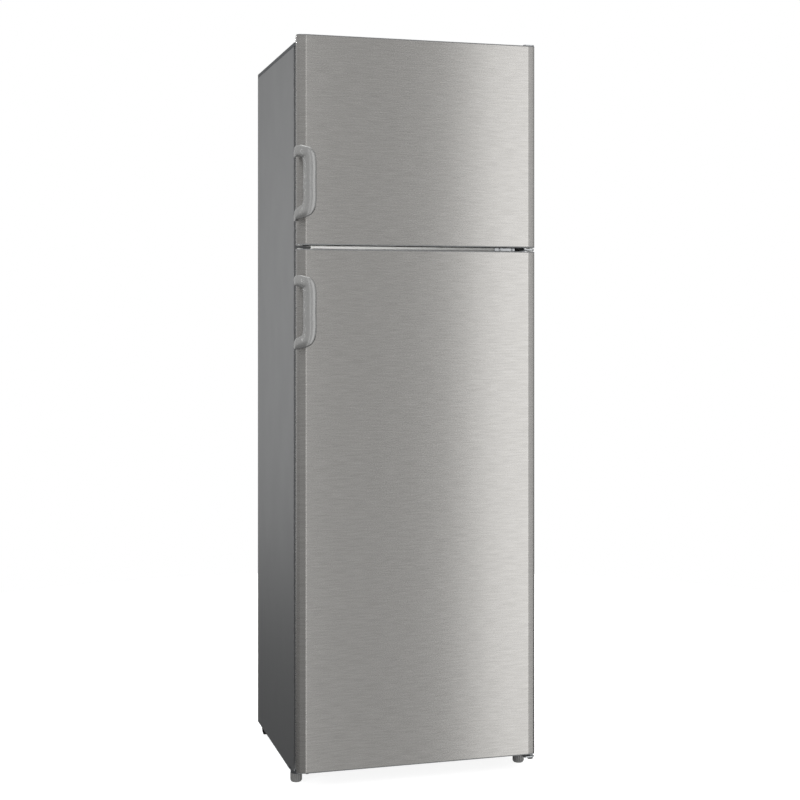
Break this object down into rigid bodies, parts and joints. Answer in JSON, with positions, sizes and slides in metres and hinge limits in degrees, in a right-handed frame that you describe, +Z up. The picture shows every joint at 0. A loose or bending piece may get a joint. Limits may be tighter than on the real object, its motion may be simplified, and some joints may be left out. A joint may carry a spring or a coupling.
{
  "type": "top freezer refrigerator",
  "caption": "Tall free-standing refrigerator with a freezer door above a larger door, side bow handles, levelling feet, rear rollers, condenser and compressor.",
  "frame": {"origin": "centre of the whole object's footprint, on the floor", "axes": "+Z up, -Y out of the doors, +X to the right of someone facing the doors"},
  "size_m": [0.598, 0.6228, 1.76],
  "materials": {
    "brushed_inox": "brushed, clear lacquered",
    "grey_paint": "satin grey powder coat",
    "dark_plastic": "moulded, fine grain",
    "handle_plastic": "silver-grey moulded",
    "cap_plastic": "grey moulded",
    "white_liner": "white thermoformed sheet",
    "white_plastic": "white moulded",
    "clear_plastic": "clear moulded",
    "shelf_glass": "toughened, clear",
    "foam": "rigid foam, hidden",
    "black_steel": "black enamel",
    "zinc_steel": "zinc plated",
    "galvanised": "galvanised",
    "copper": "bare copper tube",
    "cold_plate": "lacquered roll-bond plate",
    "foot_plastic": "ribbed grey moulded",
    "roller_plastic": "black moulded",
    "seal": "grey soft PVC"
  },
  "bodies": {
    "cabinet": {"left_side_panel": "grey_paint", "right_side_panel": "grey_paint", "mullion_rail": "grey_paint", "front_base_rail": "grey_paint", "top_cover": "dark_plastic", "top_hinge_cover": "dark_plastic", "relay_cover": "dark_plastic", "drip_tray": "dark_plastic", "freezer_liner": "white_liner", "fridge_liner": "white_liner", "lamp_housing": "white_plastic", "lamp_cover": "clear_plastic", "ice_tray": "clear_plastic", "fridge_shelf_lower": "shelf_glass", "fridge_shelf_middle": "shelf_glass", "fridge_shelf_upper": "shelf_glass", "crisper_cover": "shelf_glass", "freezer_shelf": "shelf_glass", "cabinet_foam": "foam", "compressor": "black_steel", "condenser_coil": "black_steel", "condenser_rail_left": "black_steel", "condenser_rail_right": "black_steel", "bottom_hinge": "zinc_steel", "foot_bracket_left": "zinc_steel", "middle_hinge": "zinc_steel", "top_hinge": "zinc_steel", "roller_bracket_left": "zinc_steel", "roller_bracket_right": "zinc_steel", "back_panel": "galvanised", "base_plate": "galvanised", "filter_drier": "copper", "suction_tube": "copper", "cold_plate": "cold_plate"},
    "freezer_door": {"freezer_door_skin": "brushed_inox", "freezer_door_top_cap": "cap_plastic", "freezer_door_bottom_cap": "cap_plastic", "freezer_door_foam": "foam", "freezer_door_liner": "white_liner", "freezer_door_seal": "seal", "freezer_door_handle": "handle_plastic", "freezer_door_bin_lower": "clear_plastic", "freezer_door_bin_upper": "clear_plastic"},
    "fridge_door": {"fridge_door_skin": "brushed_inox", "fridge_door_top_cap": "cap_plastic", "fridge_door_bottom_cap": "cap_plastic", "fridge_door_foam": "foam", "fridge_door_liner": "white_liner", "fridge_door_seal": "seal", "fridge_door_handle": "handle_plastic", "bottle_rack": "clear_plastic", "fridge_door_bin_middle": "clear_plastic", "fridge_door_bin_upper": "clear_plastic"},
    "crisper": {"crisper_drawer": "clear_plastic"},
    "thermostat": {"thermostat_knob": "white_plastic"},
    "switch_plunger": {"light_switch": "white_plastic"},
    "foot_left": {"front_foot_left": "foot_plastic"},
    "foot_right": {"front_foot_right": "foot_plastic"},
    "roller_left": {"rear_roller_left": "roller_plastic"},
    "roller_right": {"rear_roller_right": "roller_plastic"}
  },
  "joints": [
    {"name": "freezer_door_hinge", "type": "hinge", "parent": "cabinet", "child": "freezer_door", "pos_m": [0.28995, -0.24082, 1.507], "axis": [0, 0, 1], "range_deg": [0, 120]},
    {"name": "fridge_door_hinge", "type": "hinge", "parent": "cabinet", "child": "fridge_door", "pos_m": [0.28995, -0.24082, 0.6465], "axis": [0, 0, 1], "range_deg": [0, 120]},
    {"name": "crisper_slide", "type": "slide", "parent": "cabinet", "child": "crisper", "axis": [0, -1, 0], "range_m": [0, 0.18]},
    {"name": "switch_slide", "type": "slide", "parent": "cabinet", "child": "switch_plunger", "axis": [0, -1, 0], "range_m": [0, 0.005]},
    {"name": "thermostat_turn", "type": "hinge", "parent": "cabinet", "child": "thermostat", "pos_m": [0.15615, -0.13112, 1.2045], "axis": [0, -1, 0], "range_deg": [-270, 0]},
    {"name": "foot_left_screw", "type": "slide", "parent": "cabinet", "child": "foot_left", "axis": [0, 0, 1], "range_m": [-0.012, 0]},
    {"name": "foot_right_screw", "type": "slide", "parent": "cabinet", "child": "foot_right", "axis": [0, 0, 1], "range_m": [-0.012, 0]},
    {"name": "roller_left_spin", "type": "hinge", "parent": "cabinet", "child": "roller_left", "pos_m": [-0.27005, 0.22918, 0.022], "axis": [1, 0, 0], "continuous": true},
    {"name": "roller_right_spin", "type": "hinge", "parent": "cabinet", "child": "roller_right", "pos_m": [0.28195, 0.22918, 0.022], "axis": [1, 0, 0], "continuous": true}
  ],
  "couplings": [
    {"joint": "crisper_slide", "follows": "fridge_door_hinge", "m_per_rad": 0.08594},
    {"joint": "switch_slide", "follows": "fridge_door_hinge", "m_per_rad": 0.002387}
  ]
}
